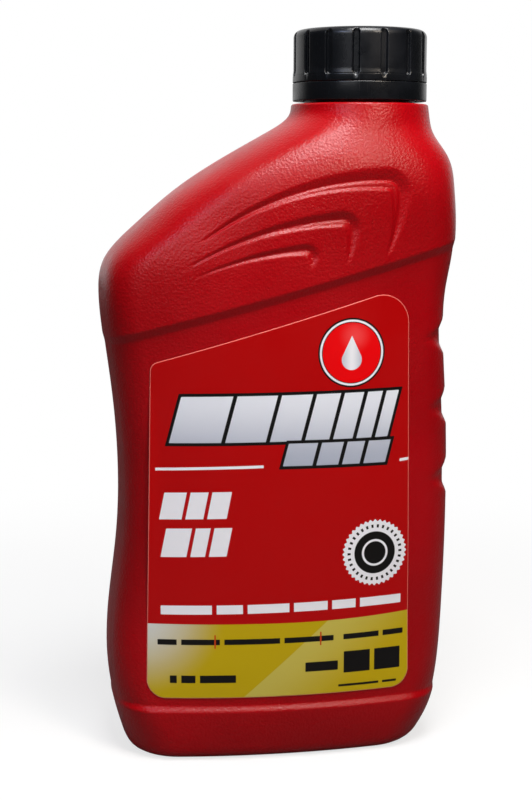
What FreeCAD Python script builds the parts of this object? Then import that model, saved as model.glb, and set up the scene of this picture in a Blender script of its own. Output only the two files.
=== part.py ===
"""Motor oil bottle, one US quart: a hollow blown bottle with a recessed label panel, swept shoulder
grooves and finger grips, closed by a fluted screw cap with a tamper band and a liner.

Frame: +Z up, the front faces -Y, the origin is at the middle of the underside. Millimetres.
"""
import FreeCAD, Part
import math
import os
from collections import namedtuple

V = FreeCAD.Vector

# Overall size of the blown body
body_width = 114.3
body_depth = 61.0
collar_height = 206.9
shoulder_height = 148.9
wall = 1.0

# Cross-section of the body: long tangent arcs joined by corner arcs
panel_bulge_radius = 160.0
side_bulge_radius = 70.0
body_corner_radius = 14.0
base_corner_radius = 17.0
slope_corner_radius = 21.0
heel_radius = 3.6

# Heights of the body's main levels
heel_height = 9.5
foot_height = 20.9
belly_height = 42.9
waist_height = 92.9
grip_shoulder_height = 132.9

# Neck and collar
neck_x = 26.8
collar_radius = 21.9
collar_edge_radius = 0.8
neck_radius = 17.6
bore_radius = 14.6
mouth_height = collar_height + 20.0
mouth_chamfer = 0.5

# Recessed label panel, its slanting upper step and its level lower ridge
panel_recess = 1.0
panel_side_recess = 0.35
step_height = 149.6
step_slope = 0.27
step_band = 3.0
ridge_top = 18.1
ridge_band = 1.6

# Finger grips on the right-hand edge
grip_count = 3
grip_low_height = 88.3
grip_pitch = 22.7
grip_half_height = 5.0
grip_depth = 1.6
grip_reach = 10.0
grip_floor_half = 0.9
grip_side_setback = 2.5
grip_front_setback = 6.5

# Three nested grooves swept over the shoulder, as points of the front view (across, height)
Groove = namedtuple("Groove", "tip crown corner tail size bend")
grooves = [
    Groove((-27.5, 164.1), (3.0, 179.5), (33.9, 183.1), (30.4, 161.2), 1.0, 4.0),
    Groove((-31.2, 156.9), (-4.0, 168.2), (18.5, 171.3), (17.2, 158.1), 0.72, 2.9),
    Groove((-29.7, 153.6), (-7.7, 160.5), (6.2, 162.1), (5.8, 156.5), 0.52, 2.1),
]
groove_depth = 1.5
groove_soft_width = 5.8
groove_step_width = 2.9
groove_step_run = 0.45
groove_tip_size = 0.14
groove_lift = 3.3
groove_lean = 20.0

# Push-up under the base
base_rim = 7.0
push_up = 2.2
push_up_slope = 3.0

# Screw thread shared by neck and cap
thread_pitch = 4.2
thread_turns = 1.35
thread_depth = 1.15
thread_root_width = 2.0
thread_crest_width = 0.9
thread_start_height = mouth_height - 9.6
thread_clearance = 0.35

# Retaining bead on the neck and the band that hooks under it
bead_radius = 19.3
bead_height = 2.2
bead_low_height = collar_height + 3.6
band_low_height = collar_height + 0.9
band_height = 5.4
band_wall = 1.5
band_hook = 1.0
band_hook_height = 1.3
bridge_count = 12
bridge_width = 1.2
seam_gap = 0.35
bridge_gap = 0.06

# Cap
cap_radius = 21.4
cap_grip_radius = 21.2
cap_top_wall = 1.75
cap_edge = 1.8
cap_flare_height = 2.0
cap_skirt_height = 1.9
flute_count = 15
flute_width = 1.9
flute_depth = 0.95
flute_top_below = 1.4
flute_first_angle = 6.0
liner_thickness = 1.2
liner_edge_clearance = 0.25
seal_clearance = 0.05
cap_top_height = mouth_height + seal_clearance + liner_thickness + cap_top_wall

# Front label
label_thickness = 0.15
label_clearance = 0.08
label_left_low = -45.0
label_left_high = -43.0
label_right_high = 38.0
label_right_low = 39.8
label_low_height = 20.9
label_left_top = 127.3
label_right_top = 151.1
label_high_corner = 9.0
label_low_corner = 6.0
label_tilt_corner = 3.0

half_width = body_width / 2
half_depth = body_depth / 2
Level = namedtuple("Level", "z left right depth front side left_corner right_corner")


def body_levels():
    """The body's sections from the floor to the collar, each with its setbacks from the full size."""
    w, d = half_width, half_depth
    rise = collar_height - shoulder_height
    bulge, side = panel_bulge_radius, side_bulge_radius
    corner, low, slope = body_corner_radius, base_corner_radius, slope_corner_radius
    top = collar_height
    return [
        Level(0, w - 7.0, w - 12.2, d - 3.0, 1.5 * bulge, side, low, low),
        Level(heel_height, w - 4.1, w - 6.7, d - 1.2, 1.4 * bulge, side, low, low),
        Level(foot_height, w - 1.6, w - 3.8, d - 0.3, 1.2 * bulge, side, corner, corner),
        Level(belly_height, w - 1.3, w - 1.9, d, bulge, side, corner, corner),
        Level((belly_height + waist_height) / 2, w - 4.3, w - 1.2, d - 0.1, bulge, side, corner, corner),
        Level(waist_height, w - 5.1, w - 1.2, d - 0.3, bulge, side, corner, corner),
        Level((waist_height + grip_shoulder_height) / 2, w - 3.8, w - 1.9, d - 0.3, bulge, side,
              corner, corner),
        Level(grip_shoulder_height, w - 1.3, w - 3.1, d - 0.1, bulge, side, corner, corner),
        Level(shoulder_height, w, w - 2.6, d, bulge, side, corner, corner),
        Level(top - 0.83 * rise, w - 2.3, w - 0.8, d - 0.1, bulge, side, corner + 3, corner + 1),
        Level(top - 0.65 * rise, w - 12.2, w, d - 0.5, 0.9 * bulge, side, slope, corner + 2),
        Level(top - 0.44 * rise, w - 26.7, w - 0.5, d - 1.3, 0.8 * bulge, 0.8 * side, slope, corner + 4),
        Level(top - 0.27 * rise, w - 42.2, w - 2.7, d - 3.6, 0.5 * bulge, 0.6 * side, slope, corner + 6),
        Level(top - 0.155 * rise, collar_radius + 8.0 - neck_x, w - 6.9, d - 6.4, 0.26 * bulge, 0.45 * side, slope, corner + 6),
        Level(top - 0.075 * rise, collar_radius + 1.3 - neck_x, collar_radius + 0.6 + neck_x,
              collar_radius + 0.6, 0, 0, 0, 0),
        Level(top, collar_radius - neck_x, collar_radius + neck_x, collar_radius, 0, 0, 0, 0),
    ]


def slopes(levels, index, field):
    """How fast one outline of the body leans outwards per millimetre of height."""
    low = levels[max(index - 1, 0)]
    high = levels[min(index + 1, len(levels) - 1)]
    return (getattr(high, field) - getattr(low, field)) / (high.z - low.z)


def inset_level(levels, index, inset, extra_depth=0.0, extra_side=0.0):
    """A section set in from the skin by a true thickness, so a leaning wall is set in by more."""
    here = levels[index]

    def lean(field):
        return math.hypot(1.0, slopes(levels, index, field))

    return here._replace(
        left=here.left - inset * lean("left") - extra_side,
        right=here.right - inset * lean("right") - extra_side,
        depth=here.depth - inset * lean("depth") - extra_depth,
        front=here.front and here.front - inset,
        side=here.side and here.side - inset,
        left_corner=here.left_corner and here.left_corner - inset,
        right_corner=here.right_corner and here.right_corner - inset)


def quarter(half_x, half_y, front_r, side_r, corner):
    """End points and middle of one corner arc, measured from the section's own centre."""
    side_x, front_y = half_x - side_r, half_y - front_r
    gap = math.hypot(side_x, front_y)
    to_side, to_front = side_r - corner, front_r - corner
    along = (to_side ** 2 - to_front ** 2 + gap ** 2) / (2 * gap)
    off = math.sqrt(to_side ** 2 - along ** 2)
    ux, uy = -side_x / gap, front_y / gap
    ends = [(side_x + along * ux + s * off * uy, along * uy - s * off * ux) for s in (1, -1)]
    cx, cy = max(ends, key=lambda p: p[0] + p[1])
    out_side = math.hypot(cx - side_x, cy)
    out_front = math.hypot(cx, cy - front_y)
    on_side = (side_x + (cx - side_x) / out_side * side_r, cy / out_side * side_r)
    on_front = (cx / out_front * front_r, front_y + (cy - front_y) / out_front * front_r)
    mid_x = (on_side[0] + on_front[0]) / 2 - cx
    mid_y = (on_side[1] + on_front[1]) / 2 - cy
    mid = math.hypot(mid_x, mid_y)
    return on_side, (cx + mid_x / mid * corner, cy + mid_y / mid * corner), on_front


def section_wire(level):
    """Closed section of eight tangent arcs: front, back, two sides and four corners."""
    half_x = (level.left + level.right) / 2
    centre = (level.right - level.left) / 2
    if level.front:
        right = quarter(half_x, level.depth, level.front, level.side, level.right_corner)
        left = quarter(half_x, level.depth, level.front, level.side, level.left_corner)
        side_tip, front_tip = half_x, level.depth
    else:
        r = half_x
        squash = level.depth / half_x
        right = left = tuple((r * math.cos(math.radians(a)), squash * r * math.sin(math.radians(a)))
                             for a in (20, 40, 60))
        side_tip, front_tip = r, level.depth

    def at(x, y):
        return V(centre + x, y, level.z)

    def arc(*points):
        return Part.Arc(*[at(*p) for p in points]).toShape()

    (rs, rm, rf), (ls, lm, lf) = right, left
    edges = [
        arc((rs[0], -rs[1]), (side_tip, 0), rs),
        arc(rs, rm, rf),
        arc(rf, (0, front_tip), (-lf[0], lf[1])),
        arc((-lf[0], lf[1]), (-lm[0], lm[1]), (-ls[0], ls[1])),
        arc((-ls[0], ls[1]), (-side_tip, 0), (-ls[0], -ls[1])),
        arc((-ls[0], -ls[1]), (-lm[0], -lm[1]), (-lf[0], -lf[1])),
        arc((-lf[0], -lf[1]), (0, -front_tip), (rf[0], -rf[1])),
        arc((rf[0], -rf[1]), (rm[0], -rm[1]), (rs[0], -rs[1])),
    ]
    return Part.Wire(edges)


def skin(inset=0.0, recess=False, floor=0.0, ceiling=collar_height, banded=False):
    """Solid bounded by the body's skin, or by its recessed label panel, set in by a thickness.

    The skin is smooth from section to section, and the unseen inside is banded.
    """
    levels = body_levels()
    deep = panel_recess if recess else 0.0
    narrow = panel_side_recess if recess else 0.0
    levels = [inset_level(levels, i, inset, deep, narrow) for i in range(len(levels))]
    levels[0] = levels[0]._replace(z=floor)
    levels[-1] = levels[-1]._replace(z=ceiling)
    return Part.makeLoft([section_wire(level) for level in levels], True, banded, False, 3)


def half_space(height, slope, above):
    """Everything above or below a plane that climbs to the right."""
    reach = 2 * body_width
    run = reach * slope
    far = height + 2 * collar_height if above else height - 2 * collar_height
    face = Part.Face(Part.makePolygon([V(-reach, -reach, height - run), V(reach, -reach, height + run),
                                       V(reach, -reach, far), V(-reach, -reach, far),
                                       V(-reach, -reach, height - run)]))
    return face.extrude(V(0, 2 * reach, 0))


def plane_wire(solid, height, slope):
    """Outline of a solid on a plane that climbs to the right."""
    normal = V(-slope, 0, 1)
    length = normal.Length
    return solid.slice(normal / length, height / length)[0]


def stacked(pieces, floor, ceiling):
    """One solid from pieces stacked on common sections, with the sections between them left out."""
    faces = []
    for face in [face for piece in pieces for face in piece.Faces]:
        inner = isinstance(face.Surface, Part.Plane) and floor + 1e-3 < face.CenterOfMass.z < ceiling - 1e-3
        if not inner:
            faces.append(face)
    return Part.Solid(Part.Shell(faces))


def stepped_body(inset=0.0, floor=0.0, ceiling=collar_height):
    """Body with the label panel let in between the slanting step and the level ridge."""
    banded = inset > 0
    full = skin(inset, False, floor, ceiling, banded)
    panel = skin(inset, True, floor, ceiling, banded)
    step_low, ridge_low = step_height - step_band, ridge_top - ridge_band
    upper = full.common(half_space(step_height, step_slope, True))
    lower = full.common(half_space(ridge_low, 0, False))
    middle = panel.common(half_space(step_low, step_slope, False)).common(half_space(ridge_top, 0, True))
    step = Part.makeLoft([plane_wire(full, step_height, step_slope),
                          plane_wire(panel, step_low, step_slope)], True, True)
    ridge = Part.makeLoft([plane_wire(panel, ridge_top, 0), plane_wire(full, ridge_low, 0)], True, True)
    return stacked([upper, step, middle, ridge, lower], floor, ceiling)


def front_depth(body, x, z):
    """How far the front skin stands from the middle plane at a place in the front view."""
    line = Part.Line(V(x, -body_depth, z), V(x, 0, z))
    hits = [point.Y for face in body.Faces for point in line.intersectCS(face.Surface)[0]]
    return -min(hits)


def mirrored(shape):
    """The same shape on the back of the bottle."""
    return shape.mirror(V(0, 0, 0), V(0, 1, 0))


def groove_section(body, x, z, nx, nz, size):
    """Groove outline across its run: a soft wall that dips in, then two small steps back out."""
    soft, step, run = groove_soft_width * size, groove_step_width * size, groove_step_run * size
    deep = groove_depth * math.sqrt(size)
    points = []
    for out, depth in [(soft, -groove_lift), (soft, 0), (0, deep), (-run, 0.55 * deep),
                       (run - step, 0.45 * deep), (-step, 0), (-step, -groove_lift)]:
        px, pz = x + nx * out, z + nz * out
        points.append(V(px, depth - front_depth(body, px, pz), pz))
    return Part.makePolygon(points + points[:1])


def groove_cutter(body, groove):
    """What one groove takes out of the skin: an arched arm, a rounded corner and a tail."""
    (cx, cz), bend, full, tip = groove.corner, groove.bend, groove.size, groove_tip_size
    arm = Part.Arc(V(groove.tip[0], 0, groove.tip[1]), V(groove.crown[0], 0, groove.crown[1]),
                   V(cx - bend, 0, cz))
    first, last = arm.FirstParameter, arm.LastParameter
    arm_run, corner_run, tail_run = [], [], []
    for t in (0.0, 0.25, 0.5, 0.75):
        at = arm.value(first + t * (last - first))
        along = arm.tangent(first + t * (last - first))[0]
        up = 1 if along.x > 0 else -1
        arm_run.append((at.x, at.z, -up * along.z, up * along.x, full * (tip + (1 - tip) * t)))
    for angle in (90, 45, 0):
        nx, nz = math.cos(math.radians(angle)), math.sin(math.radians(angle))
        corner_run.append((cx - bend + bend * nx, cz - bend + bend * nz, nx, nz, full))
    for t in (0.5, 1.0):
        x = cx + (groove.tail[0] - cx) * t ** 2
        z = cz - bend + (groove.tail[1] - cz + bend) * t
        tail_run.append((x, z, 1.0, 0.0, full * (1 - (1 - tip) * t)))
    runs = [arm_run + corner_run[:1], corner_run, corner_run[-1:] + tail_run]
    lofts = [Part.makeLoft([groove_section(body, *station) for station in run], True, False)
             for run in runs]
    return lofts[0].fuse(lofts[1:])


def grip_cutter(height, grow=0.0):
    """Ring with a blunt V edge, which bites the right-hand edge and runs out on front and back."""
    side = half_width - grip_side_setback
    floor_x = side - grip_depth
    run_out_x = side - grip_reach
    run_out_y = half_depth - grip_front_setback
    axis_x = (floor_x ** 2 - run_out_x ** 2 - run_out_y ** 2) / (2 * (floor_x - run_out_x))
    inner = floor_x - axis_x - grow
    floor = grip_floor_half + grow
    flare = (grip_half_height - grip_floor_half) / grip_depth
    reach = 4 * grip_depth
    outline = [V(inner, 0, height - floor), V(inner, 0, height + floor),
               V(inner + reach, 0, height + floor + flare * reach),
               V(inner + reach, 0, height - floor - flare * reach)]
    ring = Part.Face(Part.makePolygon(outline + outline[:1])).revolve(V(0, 0, 0), V(0, 0, 1), 180)
    ring.rotate(V(0, 0, 0), V(0, 0, 1), -90)
    ring.translate(V(axis_x, 0, 0))
    return ring


def base_cutter(grow=0.0):
    """Push-up under the base, inside the rim that the bottle stands on."""
    levels = body_levels()
    rim = inset_level(levels, 0, base_rim - grow)
    crown = inset_level(levels, 0, base_rim + push_up_slope - grow)._replace(z=push_up + grow)
    return Part.makeLoft([section_wire(rim), section_wire(crown)], True, True)


def edges_at(solid, height):
    """Edges of a solid that lie flat at one height."""
    return [e for e in solid.Edges
            if abs(e.BoundBox.ZMin - height) < 1e-3 and abs(e.BoundBox.ZMax - height) < 1e-3]


def moulded(body, groove_tools, inset=0.0):
    """Cuts the shoulder grooves, finger grips and push-up into the body or into the space inside it."""
    tools = []
    lean = math.radians(groove_lean)
    for tool in groove_tools:
        tool = tool.translated(V(0, inset * math.cos(lean), -inset * math.sin(lean)))
        tools += [tool, mirrored(tool)]
    tools += [grip_cutter(grip_low_height + i * grip_pitch, inset) for i in range(grip_count)]
    tools.append(base_cutter(inset))
    return body.cut(tools)


def helical_ridge(radius, height, turns, outward):
    """One start of thread: a blunt V ridge swept along a right-hand helix."""
    lead = thread_pitch * turns
    helix = Part.makeHelix(thread_pitch, lead, radius)
    crest = radius + (thread_depth if outward else -thread_depth)
    root = radius + (-0.15 if outward else 0.15)
    profile = Part.makePolygon([V(root, 0, -thread_root_width / 2), V(crest, 0, -thread_crest_width / 2),
                                V(crest, 0, thread_crest_width / 2), V(root, 0, thread_root_width / 2),
                                V(root, 0, -thread_root_width / 2)])
    ridge = Part.Wire(helix).makePipeShell([profile], True, True)
    ridge.translate(V(neck_x, 0, height))
    return ridge


def turned(points):
    """Solid turned about the neck's axis from a closed outline of (radius, height) points."""
    outline = [V(r, 0, z) for r, z in points]
    solid = Part.Face(Part.makePolygon(outline + outline[:1])).revolve(V(0, 0, 0), V(0, 0, 1), 360)
    solid.translate(V(neck_x, 0, 0))
    return solid


def body_space(groove_tools):
    """The space inside the body, which follows every feature of the skin at the wall's thickness."""
    space = stepped_body(wall, wall, collar_height - wall)
    space = space.makeFillet(heel_radius - wall, edges_at(space, wall))
    return moulded(space, groove_tools, wall)


def make_bottle(groove_tools):
    outer = stepped_body()
    outer = outer.makeFillet(heel_radius, edges_at(outer, 0.0))
    outer = outer.makeFillet(collar_edge_radius, edges_at(outer, collar_height))
    outer = moulded(outer, groove_tools)
    root = collar_height - wall
    bead_top = bead_low_height + bead_height
    neck = turned([(bore_radius, root), (neck_radius, root), (neck_radius, bead_low_height),
                   (bead_radius, bead_low_height), (bead_radius, bead_low_height + bead_height / 3),
                   (neck_radius, bead_top), (neck_radius, mouth_height - mouth_chamfer),
                   (neck_radius - mouth_chamfer, mouth_height), (bore_radius, mouth_height)])
    neck = neck.fuse(helical_ridge(neck_radius, thread_start_height, thread_turns, True))
    inside = body_space(groove_tools)
    bore = Part.makeCylinder(bore_radius, 2 * (mouth_height - collar_height), V(neck_x, 0, root - 10))
    return outer.fuse(neck).cut(inside).cut(bore)


def cap_bore():
    """Inside radius of the cap, clear of the neck's thread."""
    return neck_radius + thread_depth + thread_clearance


def make_cap():
    skirt_low = band_low_height + band_height + seam_gap
    ceiling = mouth_height + seal_clearance + liner_thickness
    flare_low = skirt_low + cap_skirt_height
    shell = turned([(cap_bore(), skirt_low), (cap_radius, skirt_low), (cap_radius, flare_low),
                    (cap_grip_radius, flare_low + cap_flare_height),
                    (cap_grip_radius, cap_top_height - cap_edge),
                    (cap_grip_radius - 0.3 * cap_edge, cap_top_height - 0.3 * cap_edge),
                    (cap_grip_radius - cap_edge, cap_top_height),
                    (0, cap_top_height), (0, ceiling), (cap_bore(), ceiling)])
    half = flute_width / 2
    low = flare_low + half
    high = cap_top_height - flute_top_below
    start = cap_grip_radius - flute_depth
    outline = Part.Wire([Part.makeLine(V(start, -half, high), V(start, -half, low)),
                         Part.Arc(V(start, -half, low), V(start, 0, low - half),
                                  V(start, half, low)).toShape(),
                         Part.makeLine(V(start, half, low), V(start, half, high)),
                         Part.makeLine(V(start, half, high), V(start, -half, high))])
    flute = Part.Face(outline).extrude(V(cap_radius, 0, 0))
    flutes = []
    for i in range(flute_count):
        cutter = flute.copy()
        cutter.rotate(V(0, 0, 0), V(0, 0, 1), 360 / flute_count * i + flute_first_angle)
        flutes.append(cutter.translated(V(neck_x, 0, 0)))
    ridge = helical_ridge(cap_bore(), thread_start_height - thread_pitch / 2, thread_turns, False)
    return shell.cut(flutes).fuse(ridge)


def make_tamper_band():
    """Ring left on the neck, hooked under the bead, with the stubs of its bridges on the seam."""
    top = band_low_height + band_height
    inner = cap_radius - band_wall
    hook_top = band_low_height + band_hook_height
    ring = turned([(inner - band_hook, band_low_height), (cap_radius, band_low_height), (cap_radius, top),
                   (inner, top), (inner, hook_top + band_hook), (inner - band_hook, hook_top)])
    middle = (inner + cap_radius) / 2
    stubs = []
    for i in range(bridge_count):
        stub = Part.makeBox(bridge_width, bridge_width, seam_gap,
                            V(middle - bridge_width / 2, -bridge_width / 2, top - bridge_gap))
        stub.rotate(V(0, 0, 0), V(0, 0, 1), 360 / bridge_count * i)
        stubs.append(stub.translated(V(neck_x, 0, 0)))
    return ring.fuse(stubs)


def make_liner():
    radius = cap_bore() - liner_edge_clearance
    return Part.makeCylinder(radius, liner_thickness, V(neck_x, 0, mouth_height + seal_clearance))


def rounded_outline(points, radii):
    """Closed outline in the front view with each corner rounded by its own radius."""
    count = len(points)
    edges, ends = [], []
    for i, (point, radius) in enumerate(zip(points, radii)):
        to_last = (points[i - 1] - point).normalize()
        to_next = (points[(i + 1) % count] - point).normalize()
        half = to_last.getAngle(to_next) / 2
        run = radius / math.tan(half)
        centre = point + (to_last + to_next).normalize() * (radius / math.sin(half))
        middle = centre + (point - centre).normalize() * radius
        ends.append((point + to_last * run, middle, point + to_next * run))
    for i, (start, middle, end) in enumerate(ends):
        edges.append(Part.Arc(start, middle, end).toShape())
        edges.append(Part.makeLine(end, ends[(i + 1) % count][0]))
    return Part.Wire(edges)


def make_front_label():
    """Printed film that lies on the recessed panel and follows its bulge."""
    corners = [V(label_left_low, -body_depth, label_low_height),
               V(label_right_low, -body_depth, label_low_height),
               V(label_right_high, -body_depth, label_right_top),
               V(label_left_high, -body_depth, label_left_top)]
    radii = [label_low_corner, label_low_corner, label_high_corner, label_tilt_corner]
    prism = Part.Face(rounded_outline(corners, radii)).extrude(V(0, body_depth, 0))
    face = skin(-label_clearance - label_thickness, True)
    back = skin(-label_clearance, True)
    return prism.common(face).cut(back)


groove_tools = [groove_cutter(skin(), groove) for groove in grooves]
nodes = {
    "bottle": make_bottle(groove_tools),
    "cap": make_cap(),
    "tamper_band": make_tamper_band(),
    "cap_liner": make_liner(),
    "front_label": make_front_label(),
}

os.makedirs("parts", exist_ok=True)
for name, shape in nodes.items():
    shape.exportStep(f"parts/{name}.step")
    print(name, "valid", shape.isValid(), "solids", len(shape.Solids), "volume", round(shape.Volume),
          "faces", len(shape.Faces))
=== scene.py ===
# %% [markdown]
# # A motor oil bottle
#
# This lesson dresses a one-quart motor oil bottle. Its solids come ready made as a fixed frame, and this
# script puts a finely shaped skin, a printed film, a fluted cap and real plastics in their place.
# The bottle is one blow-moulded shell of red polyethylene with a slanting label panel, three grooves
# swept over its shoulder and three finger grips. A black screw cap with a tamper ring closes it.

# %% Load the frame
import math
from collections import namedtuple

import bpy
import numpy as np
from mathutils import Matrix, Vector
from mathutils.geometry import delaunay_2d_cdt


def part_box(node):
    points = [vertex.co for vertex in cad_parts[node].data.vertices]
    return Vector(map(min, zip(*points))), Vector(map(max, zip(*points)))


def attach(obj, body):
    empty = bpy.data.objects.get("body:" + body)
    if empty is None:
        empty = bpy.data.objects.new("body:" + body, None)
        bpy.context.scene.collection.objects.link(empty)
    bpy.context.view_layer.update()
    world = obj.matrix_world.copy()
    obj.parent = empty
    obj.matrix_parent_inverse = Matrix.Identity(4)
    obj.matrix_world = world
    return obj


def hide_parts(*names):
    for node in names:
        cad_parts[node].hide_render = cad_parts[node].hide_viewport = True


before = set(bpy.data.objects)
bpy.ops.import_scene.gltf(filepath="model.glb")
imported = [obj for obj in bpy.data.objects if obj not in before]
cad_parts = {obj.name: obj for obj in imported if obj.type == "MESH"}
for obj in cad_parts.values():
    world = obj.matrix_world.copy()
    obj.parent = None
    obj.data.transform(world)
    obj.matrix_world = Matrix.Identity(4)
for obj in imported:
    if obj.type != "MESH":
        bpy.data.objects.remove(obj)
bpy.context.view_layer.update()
mm = 0.001
print("frame nodes:", sorted(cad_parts))

# %% [markdown]
# ## Sizes read from the frame
#
# Every piece sits where its solid sits, so the script measures the solids before it makes anything.
# The cap's box gives the neck's axis and the cap's radius and height, and the ring's box gives the seam.

# %% Measure the solids


def box_mm(node):
    """Lowest and highest corner of a solid, in millimetres."""
    low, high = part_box(node)
    return np.array(low) / mm, np.array(high) / mm


cap_low, cap_high = box_mm("cap")
ring_low, ring_high = box_mm("tamper_band")
liner_top = box_mm("cap_liner")[1][2]
mouth_height = box_mm("bottle")[1][2]
neck_x = (cap_low[0] + cap_high[0]) / 2
cap_radius = (cap_high[0] - cap_low[0]) / 2
print("neck axis at x", round(neck_x, 2), "cap radius", round(cap_radius, 2))
print("mouth at height", round(mouth_height, 2))

# %% [markdown]
# ## Small tools for meshes
#
# A blown bottle and a screw cap are both grids: rows that climb and columns that go round. These helpers
# join such grids with quads and close their ends with fans of triangles. Corners of a profile get a small
# radius, because a mould never leaves a knife edge and the radius is what catches the light.

# %% Mesh helpers


def grid_faces(rows, columns, start=0):
    """Quads between neighbouring rows of a grid that closes on itself, as lists of point numbers."""
    row, column = np.meshgrid(np.arange(rows - 1), np.arange(columns), indexing="ij")
    beside = (column + 1) % columns
    low = start + row * columns
    high = low + columns
    quads = np.stack([low + column, low + beside, high + beside, high + column], axis=-1)
    return quads.reshape(-1, 4).tolist()


def fan_faces(ring_start, columns, centre, outward_down):
    """Triangles from a ring of points to one point in its middle."""
    fan = []
    for i in range(columns):
        pair = (ring_start + i, ring_start + (i + 1) % columns)
        fan.append((centre, pair[1], pair[0]) if outward_down else (centre, pair[0], pair[1]))
    return fan


def join_grids(grids, fans=()):
    """Points and faces of several grids. A fan closes a row of one: (grid, row, middle point, faces down)."""
    points = [grid.reshape(-1, 3) for grid in grids]
    starts = [sum(len(part) for part in points[:i]) for i in range(len(grids) + 1)]
    faces = []
    for grid, start in zip(grids, starts):
        faces += grid_faces(grid.shape[0], grid.shape[1], start)
    for count, (number, row, middle, faces_down) in enumerate(fans):
        rows, columns = grids[number].shape[:2]
        faces += fan_faces(starts[number] + row % rows * columns, columns, starts[-1] + count, faces_down)
        points.append(np.array([middle]))
    return np.concatenate(points), faces


def make_piece(name, points, faces, body, slot, node):
    """A smooth-shaded mesh in the row frame that stands for one solid and rides on its body."""
    mesh = bpy.data.meshes.new(name)
    mesh.from_pydata((np.asarray(points) * mm).tolist(), [], faces)
    mesh.polygons.foreach_set("use_smooth", [True] * len(mesh.polygons))
    mesh.update()
    piece = bpy.data.objects.new(name, mesh)
    bpy.context.scene.collection.objects.link(piece)
    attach(piece, body)
    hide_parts(node)
    triangles = sum(len(face) - 2 for face in faces)
    print(name, "has", len(points), "points and", triangles, "triangles")
    return piece


def rounded_profile(corners, radius, steps=4):
    """A polyline whose inner corners are replaced by small arcs."""
    corners = np.array(corners, float)
    line = [corners[0]]
    for before, corner, after in zip(corners, corners[1:], corners[2:]):
        to_before = (before - corner) / np.linalg.norm(before - corner)
        to_after = (after - corner) / np.linalg.norm(after - corner)
        reach = min(radius, 0.45 * np.linalg.norm(before - corner), 0.45 * np.linalg.norm(after - corner))
        for t in np.linspace(0, 1, steps + 1):
            start = corner + to_before * reach
            end = corner + to_after * reach
            line.append((1 - t) ** 2 * start + 2 * t * (1 - t) * corner + t ** 2 * end)
    line.append(corners[-1])
    return np.array(line)


def soft_positive(t, width):
    """Zero below nought and t above it, with a rounded bend of the given half width."""
    bend = (t + width) ** 2 / (4 * width)
    return np.where(t < -width, 0.0, np.where(t > width, t, bend))


def soft_ramp(t, width=0.12):
    """Climbs from 0 to 1 as t does, with both ends rounded."""
    return soft_positive(t, width) - soft_positive(t - 1, width)


def smooth(t):
    """Eases from 0 to 1."""
    t = np.clip(t, 0, 1)
    return t * t * (3 - 2 * t)


# %% [markdown]
# ## The body's sections
#
# A blow mould is cut from a stack of plan sections. Each one here is a closed ring of eight tangent arcs:
# front, back, two sides and four corners. The setbacks from the full width and depth draw the waist, the
# belly and the shoulder that leans over to the neck. The last two sections are circles, where the body
# becomes the collar. Tangent arcs keep the highlights unbroken all the way round.

# %% Section levels
half_width = 57.15
half_depth = 30.5
collar_height = 206.9
collar_radius = 21.9
shoulder_height = 148.9
panel_bulge = 160.0
side_bulge = 70.0
corner = 14.0
low_corner = 17.0
slope_corner = 21.0
heel_height = 9.5
foot_height = 20.9
belly_height = 42.9
waist_height = 92.9
grip_shoulder_height = 132.9

Level = namedtuple("Level", "z left right depth front side left_corner right_corner")


def body_levels():
    """Sections from the floor to the collar, each with its setbacks from the full size."""
    w, d, top = half_width, half_depth, collar_height
    rise = collar_height - shoulder_height
    bulge, side = panel_bulge, side_bulge
    return [
        Level(0, w - 7.0, w - 12.2, d - 3.0, 1.5 * bulge, side, low_corner, low_corner),
        Level(heel_height, w - 4.1, w - 6.7, d - 1.2, 1.4 * bulge, side, low_corner, low_corner),
        Level(foot_height, w - 1.6, w - 3.8, d - 0.3, 1.2 * bulge, side, corner, corner),
        Level(belly_height, w - 1.3, w - 1.9, d, bulge, side, corner, corner),
        Level((belly_height + waist_height) / 2, w - 4.3, w - 1.2, d - 0.1, bulge, side, corner, corner),
        Level(waist_height, w - 5.1, w - 1.2, d - 0.3, bulge, side, corner, corner),
        Level((waist_height + grip_shoulder_height) / 2, w - 3.8, w - 1.9, d - 0.3, bulge, side,
              corner, corner),
        Level(grip_shoulder_height, w - 1.3, w - 3.1, d - 0.1, bulge, side, corner, corner),
        Level(shoulder_height, w, w - 2.6, d, bulge, side, corner, corner),
        Level(top - 0.83 * rise, w - 2.3, w - 0.8, d - 0.1, bulge, side, corner + 3, corner + 1),
        Level(top - 0.65 * rise, w - 12.2, w, d - 0.5, 0.9 * bulge, side, slope_corner, corner + 2),
        Level(top - 0.44 * rise, w - 26.7, w - 0.5, d - 1.3, 0.8 * bulge, 0.8 * side, slope_corner,
              corner + 4),
        Level(top - 0.27 * rise, w - 42.2, w - 2.7, d - 3.6, 0.5 * bulge, 0.6 * side, slope_corner,
              corner + 6),
        Level(top - 0.155 * rise, collar_radius + 8.0 - neck_x, w - 6.9, d - 6.4, 0.26 * bulge, 0.45 * side,
              slope_corner, corner + 6),
        Level(top - 0.075 * rise, collar_radius + 1.3 - neck_x, collar_radius + 0.6 + neck_x,
              collar_radius + 0.6, 0, 0, 0, 0),
        Level(top, collar_radius - neck_x, collar_radius + neck_x, collar_radius, 0, 0, 0, 0),
    ]


# %% Points round a section
Counts = namedtuple("Counts", "front front_right right back_right back back_left left front_left")
circle_corner = math.radians(20), math.radians(60)


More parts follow.
